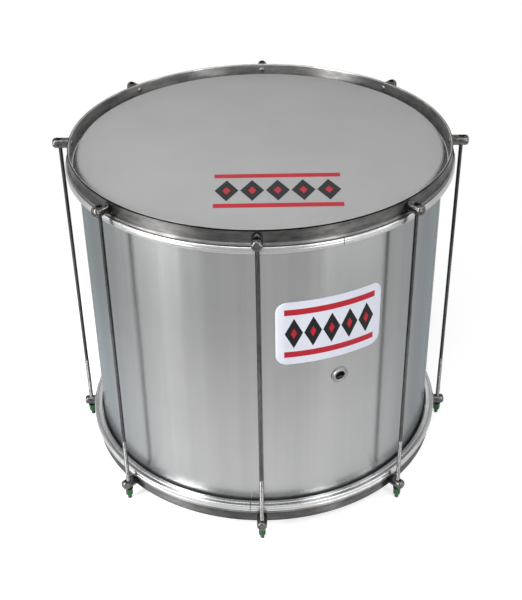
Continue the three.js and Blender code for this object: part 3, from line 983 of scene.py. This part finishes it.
def turned_steel():
    """Dark steel with fine rings left by the lathe, duller at its peened end and painted paler there
    as painted light.
    """
    s = Shader("turned_steel", (0.14, 0.135, 0.13), 0.2, 1.0)
    s.brush_round(0.5)
    x, y, z = s.split(s.place())
    rings = s.noise(s.join(s.times(s.length(x, y), 3200.0), s.times(z, 3200.0)), detail=2)
    stains = s.noise(s.stretched(s.place(), (180, 180, 180)))
    # The peened end is painted paler: painted light
    at_peen = s.below(z, HOOP_INNER - ROD_CIRCLE + SEAT_GAP)
    color = s.tint(stains, 0.4, 0.7, (0.11, 0.107, 0.103), (0.04, 0.038, 0.036))
    s.set("Base Color", s.scaled(color, s.spread(at_peen, 0, 1, 1, PEEN_PAINTED_LIGHT)))
    dull = s.times(at_peen, PEEN_ROUGHNESS)
    s.set("Roughness", s.plus(s.spread(rings, 0.3, 0.7, 0.1, 0.2), dull))
    s.bump(rings, 0.05 * MM, 0.5)
    return s.material


def rod_steel():
    """Dark drawn wire whose threaded end is bright above the nut."""
    s = Shader("rod_steel", (0.11, 0.11, 0.112), 0.26, 1.0)
    streaks = s.noise(s.stretched(s.place(), (900, 900, 30)), detail=2)
    spots = s.noise(s.stretched(s.place(), (300, 300, 120)), detail=4)
    plain = s.tint(spots, 0.4, 0.7, (0.07, 0.07, 0.071), (0.04, 0.039, 0.038))
    bright = s.tint(spots, 0.4, 0.7, (0.18, 0.18, 0.182), (0.09, 0.089, 0.088))
    height = s.split(s.place())[2]
    on_thread = s.times(s.above(height, WASHER_TOP - MM), s.below(height, THREAD_TOP))
    s.set("Base Color", s.mix(on_thread, plain, bright))
    s.set("Roughness", s.spread(streaks, 0.3, 0.7, 0.18, 0.3))
    s.bump(streaks, 0.03 * MM, 0.4)
    return s.material


def washer_steel():
    """Dull dark steel with a fine grain."""
    s = Shader("washer_steel", (0.1, 0.1, 0.1), 0.4, 1.0)
    grain = s.noise(s.place(), 900)
    s.set("Base Color", s.tint(grain, 0.3, 0.7, (0.06, 0.06, 0.06), (0.03, 0.03, 0.03)))
    s.bump(grain, 0.04 * MM, 0.4)
    return s.material


def nut_lacquer():
    """Green lacquer over steel, rubbed thin here and there."""
    s = Shader("green_lacquer", (0.007, 0.08, 0.019), 0.35)
    s.set("Specular IOR Level", 0.2)
    wear = s.noise(s.place(), 420, 4, 0.6)
    shade = s.noise(s.place(), 130, 2)
    green = s.mix(shade, (0.004, 0.055, 0.014), (0.01, 0.11, 0.024))
    s.set("Base Color", s.mix(s.spread(wear, 0.64, 0.7, 0, 0.8), green, (0.09, 0.1, 0.09)))
    s.set("Roughness", s.spread(wear, 0.3, 0.7, 0.25, 0.42))
    s.bump(wear, 0.06 * MM, 0.4)
    return s.material


def lozenge_row(s, u, v, pitch, half_width, half_height):
    """A row of lozenges along u, as a mask."""
    shifted = s.plus(u, pitch * 0.5 * (LOZENGES % 2))
    step = s.math("ABSOLUTE", s.minus(s.math("FLOORED_MODULO", shifted, pitch), pitch / 2))
    rise = s.math("ABSOLUTE", v)
    slope = s.plus(s.math("DIVIDE", step, half_width), s.math("DIVIDE", rise, half_height))
    in_row = s.below(s.math("ABSOLUTE", u), pitch * LOZENGES / 2)
    return s.times(s.below(slope, 1.0), in_row)


def bars(s, u, v, half_length, near, far):
    """Two bars along u, one each side of the middle, as a mask."""
    away = s.math("ABSOLUTE", v)
    across = s.times(s.above(away, near), s.below(away, far))
    return s.times(across, s.below(s.math("ABSOLUTE", u), half_length))


def printed(s, ground, u, v, width, height):
    """The plain print: two red bars and a row of black lozenges with red eyes."""
    pitch = width / LOZENGES
    color = s.mix(bars(s, u, v, width / 2, *[height * share for share in BAR_SHARES]), ground, RED)
    for (wide, high), ink in ((LOZENGE_SHARES, BLACK), (EYE_SHARES, RED)):
        color = s.mix(lozenge_row(s, u, v, pitch, pitch * wide, height * high), color, ink)
    return color


def head_print_place(s):
    """How far a place on the head lies along and across its print, from the print's middle."""
    centre = turned_point(HEAD_PRINT_RADIUS, HEAD_PRINT_BEARING, 0)
    x, y, _ = s.split(s.place())
    dx, dy = s.minus(x, centre.x), s.minus(y, centre.y)
    turn = math.radians(HEAD_PRINT_TURN)
    along = s.plus(s.times(dx, math.cos(turn)), s.times(dy, math.sin(turn)))
    across = s.minus(s.times(dy, math.cos(turn)), s.times(dx, math.sin(turn)))
    return along, across


def milky_film(name, has_print):
    """Milky polyester film with a soft sheen, and a print on the head that is played."""
    s = Shader(name, (0.362, 0.362, 0.362), 0.42)
    s.set("Specular IOR Level", 0.12)
    s.set("Subsurface Weight", FILM_GLOW)
    s.set("Subsurface Radius", (1, 1, 1))
    s.set("Subsurface Scale", FILM_GLOW_REACH)
    clouds = s.noise(s.place(), 14)
    grain = s.noise(s.place(), 2200, 2)
    color = s.tint(clouds, 0.3, 0.7, (0.348, 0.348, 0.349), (0.376, 0.376, 0.377))
    if has_print:
        color = printed(s, color, *head_print_place(s), HEAD_PRINT_WIDTH, HEAD_PRINT_HEIGHT)
    s.set("Base Color", color)
    s.set("Roughness", s.spread(clouds, 0.3, 0.7, 0.36, 0.46))
    s.bump(grain, 0.02 * MM, 0.3)
    return s.material


def vinyl_label():
    """White vinyl with the plain print inside its margins."""
    s = Shader("white_label", (0.66, 0.68, 0.76), 0.28)
    s.set("Specular IOR Level", 0.15)
    u, v, _ = s.split(s.place("UV"))
    mottle = s.noise(s.place(), 60)
    ground = s.mix(mottle, (0.64, 0.665, 0.745), (0.68, 0.7, 0.775))
    width, height = LABEL_WIDTH - 2 * LABEL_MARGIN, LABEL_HEIGHT - 2 * LABEL_MARGIN
    s.set("Base Color", printed(s, ground, u, v, width, height))
    s.bump(s.noise(s.place(), 1500, 2), 0.03 * MM, 0.3)
    return s.material


def make_metals():
    """The metals that several pieces share. A ring's colours are its darkest and its lightest."""
    satin = ((0.35, 0.352, 0.355), (0.43, 0.433, 0.437))
    eyelet = ((0.2, 0.201, 0.203), (0.26, 0.262, 0.264))
    hoop = ((0.054, 0.053, 0.052), (0.112, 0.11, 0.108))
    return {
        "satin": brushed_ring("satin_aluminium", satin, 0.27, 0.6, FLESH_INSIDE_PAINTED_LIGHT),
        "eyelet": brushed_ring("eyelet_aluminium", eyelet, 0.3, 0.0),
        "hoop": brushed_ring("hoop_steel", hoop, 0.44, 1.0, HOOP_INSIDE_PAINTED_LIGHT, True),
        "turned": turned_steel(),
        "rod": rod_steel(),
        "washer": washer_steel(),
        "nut": nut_lacquer(),
    }


# Assembly


def finished(piece, body, material, node):
    """The piece rides on its body, wears its material and stands for the CAD node."""
    piece.data.materials.clear()
    piece.data.materials.append(material)
    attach(piece, body)
    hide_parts(node)
    return piece


def dress_shell(metals):
    """The shell with its seam, vent and label."""
    shell = soften(new_piece("rolled_shell", shell_mesh()))
    finished(shell, "drum", shell_aluminium(), "shell")
    place = outward(SHELL_RADIUS, 0, VENT_HEIGHT)
    eyelet = soften(new_piece("vent_eyelet_turned", eyelet_mesh(), place))
    finished(eyelet, "drum", metals["eyelet"], "vent_eyelet")
    for node, metal in (("vent_washer", "washer"), ("seam_strip", "satin")):
        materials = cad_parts[node].data.materials
        materials.clear()
        materials.append(metals[metal])
    rivet = rivet_mesh()
    for k in range(1, SEAM_RIVETS + 1):
        place = outward(SHELL_RADIUS, SEAM_BEARING, middle(levels(f"seam_rivet_{k}")))
        piece = soften(new_piece(f"seam_rivet_{k}_domed", rivet, place))
        finished(piece, "drum", metals["satin"], f"seam_rivet_{k}")
    label = new_piece("shell_label_vinyl", label_mesh())
    solid = label.modifiers.new("thickness", "SOLIDIFY")
    solid.thickness = LABEL_THICKNESS
    solid.offset = 1
    finished(label, "drum", vinyl_label(), "shell_label")


def dress_end(end, edge, inwards, joint_bearing, metals):
    """The head, flesh hoop and counterhoop of one end."""
    film = lathe("film", head_profile(edge, inwards), is_closed=False)
    head = soften(new_piece(f"{end}_film", film))
    finished(head, "drum", milky_film(f"{end}_film", end == "top"), f"{end}_head")
    profile = flesh_profile(edge, inwards)
    ring = split_ring("flesh_hoop", profile, joint_bearing, FLESH_JOINT, FLESH_OUTER)
    flesh = soften(new_piece(f"{end}_flesh_ring", ring))
    finished(flesh, "drum", metals["satin"], f"{end}_flesh_hoop")
    hoop = soften(new_piece(f"{end}_hoop", lathe("counterhoop", counterhoop_profile(edge, inwards))))
    finished(hoop, "drum", metals["hoop"], f"{end}_counterhoop")


def dress_stations(metals):
    """The two studs, the rod, the washer and the nut of each station."""
    top_lug, bottom_lug = lug_mesh(True), lug_mesh(False)
    ends = (("top", top_lug, TOP_EDGE - LUG_DEPTH), ("bottom", bottom_lug, BOTTOM_EDGE + LUG_DEPTH))
    rod_shape, nut_shape, washer_shape = rod_mesh(), nut_mesh(), washer_mesh()
    for k in range(1, STATIONS + 1):
        bearing = FIRST_BEARING + 360 / STATIONS * (k - 1)
        for end, mesh, height in ends:
            stud = new_piece(f"{end}_stud_{k}", mesh, outward(ROD_CIRCLE, bearing, height))
            finished(bevelled(stud), "drum", metals["turned"], f"{end}_lug_{k}")
        rod = new_piece(f"threaded_rod_{k}", rod_shape, upright(ROD_CIRCLE, bearing, 0))
        finished(rod, "drum", metals["rod"], f"tension_rod_{k}")
        washer = new_piece(f"washer_{k}", washer_shape, upright(ROD_CIRCLE, bearing, WASHER_TOP))
        finished(soften(washer), f"washer_{k}", metals["washer"], f"nut_washer_{k}")
        nut = new_piece(f"green_nut_{k}", nut_shape, upright(ROD_CIRCLE, bearing, NUT_TOP))
        finished(bevelled(nut), f"nut_{k}", metals["nut"], f"tension_nut_{k}")


# Studio


def white_to_the_eye(tree):
    """One for rays from the camera and for those seen in metal or glass, and nothing for light."""
    path = add_node(tree, "LightPath")
    total = path.outputs["Is Camera Ray"]
    for name in ("Is Glossy Ray", "Is Transmission Ray"):
        either = add_node(tree, "Math", operation="MAXIMUM")
        tree.links.new(total, either.inputs[0])
        tree.links.new(path.outputs[name], either.inputs[1])
        total = either.outputs[0]
    return total


def white_when_seen(tree, strength):
    """Gives a strength of 1 to rays that see the studio and the world's level to its light."""
    level = add_node(tree, "MapRange")
    tree.links.new(white_to_the_eye(tree), level.inputs["Value"])
    level.inputs["To Min"].default_value = WORLD_LEVEL
    level.inputs["To Max"].default_value = 1
    tree.links.new(level.outputs[0], strength)


def make_world():
    """A dim world that looks white."""
    world = bpy.data.worlds.new("studio")
    bpy.context.scene.world = world
    world.use_nodes = True
    seen = world.node_tree.nodes["Background"]
    seen.inputs["Color"].default_value = (1, 1, 1, 1)
    white_when_seen(world.node_tree, seen.inputs["Strength"])


def pale_surface(tree):
    """The floor near the drum, pale and lifted to white, on which the drum's shadow shows."""
    surface = tree.nodes["Principled BSDF"]
    surface.inputs["Base Color"].default_value = (*FLOOR_COLOR, 1)
    surface.inputs["Roughness"].default_value = 1
    surface.inputs["Specular IOR Level"].default_value = 0
    surface.inputs["Emission Color"].default_value = (1, 1, 1, 1)
    lift = add_node(tree, "Math", operation="MULTIPLY")
    tree.links.new(white_to_the_eye(tree), lift.inputs[0])
    lift.inputs[1].default_value = FLOOR_LIFT
    tree.links.new(lift.outputs[0], surface.inputs["Emission Strength"])
    return surface.outputs[0]


def fade_outwards(tree):
    """Nothing near the drum's axis, rising to one away from it."""
    away = add_node(tree, "VectorMath", operation="LENGTH")
    tree.links.new(add_node(tree, "TexCoord").outputs["Object"], away.inputs[0])
    fade = add_node(tree, "MapRange", interpolation_type="SMOOTHSTEP")
    tree.links.new(away.outputs["Value"], fade.inputs["Value"])
    fade.inputs["From Min"].default_value = FADE_START
    fade.inputs["From Max"].default_value = FADE_END
    return fade.outputs[0]


def make_floor():
    """A pale floor that keeps the drum's soft shadow and fades into the white of the studio."""
    far = FLOOR_REACH
    mesh = bpy.data.meshes.new("floor")
    corners = [(-far, -far, 0), (far, -far, 0), (far, far, 0), (-far, far, 0)]
    mesh.from_pydata(corners, [], [(0, 1, 2, 3)])
    material = bpy.data.materials.new("floor")
    material.use_nodes = True
    tree = material.node_tree
    white = add_node(tree, "Emission")
    white_when_seen(tree, white.inputs["Strength"])
    blend = add_node(tree, "MixShader")
    tree.links.new(fade_outwards(tree), blend.inputs[0])
    tree.links.new(pale_surface(tree), blend.inputs[1])
    tree.links.new(white.outputs[0], blend.inputs[2])
    tree.links.new(blend.outputs[0], tree.nodes["Material Output"].inputs["Surface"])
    mesh.materials.append(material)
    floor = new_piece("floor", mesh)


def make_softbox(name, bearing, elevation, distance, width, height, radiance):
    """A softbox that faces the drum. A white card lit to a strength of 1 has a radiance of 1."""
    lamp = bpy.data.lights.new(name, "AREA")
    lamp.shape = "RECTANGLE"
    lamp.size = width
    lamp.size_y = height
    lamp.energy = radiance * math.pi * width * height
    lift = math.radians(elevation)
    away = turned_point(math.cos(lift), CAMERA_BEARING + bearing, math.sin(lift))
    box = new_piece(name, lamp)
    box.location = Vector((0, 0, CAMERA_TARGET_HEIGHT)) + away * distance
    box.rotation_mode = "QUATERNION"
    box.rotation_quaternion = away.to_track_quat("Z", "Y")


def make_camera():
    """The photograph's camera, which looks past the drum's middle by its pan, tilt and roll."""
    camera = new_piece("camera", bpy.data.cameras.new("camera"))
    camera.data.sensor_width = SENSOR
    camera.data.lens = FOCAL_PIXELS / PHOTO_HEIGHT * SENSOR
    lift = math.radians(CAMERA_ELEVATION)
    height = CAMERA_TARGET_HEIGHT + CAMERA_DISTANCE * math.sin(lift)
    place = Matrix.Translation(turned_point(CAMERA_DISTANCE * math.cos(lift), CAMERA_BEARING, height))
    turns = [(CAMERA_BEARING, "Z"), (90 - CAMERA_ELEVATION, "X"), (CAMERA_PAN, "Y"),
             (-CAMERA_TILT, "X"), (CAMERA_ROLL, "Z")]
    for degrees, axis in turns:
        place = place @ Matrix.Rotation(math.radians(degrees), 4, axis)
    camera.matrix_world = place
    bpy.context.scene.camera = camera


make_camera()
METALS = make_metals()
dress_shell(METALS)
dress_end("top", TOP_EDGE, -1, TOP_JOINT_BEARING, METALS)
dress_end("bottom", BOTTOM_EDGE, 1, BOTTOM_JOINT_BEARING, METALS)
dress_stations(METALS)
make_world()
make_floor()
for softbox in SOFTBOXES:
    make_softbox(*softbox)
bpy.context.scene.view_settings.view_transform = "Standard"
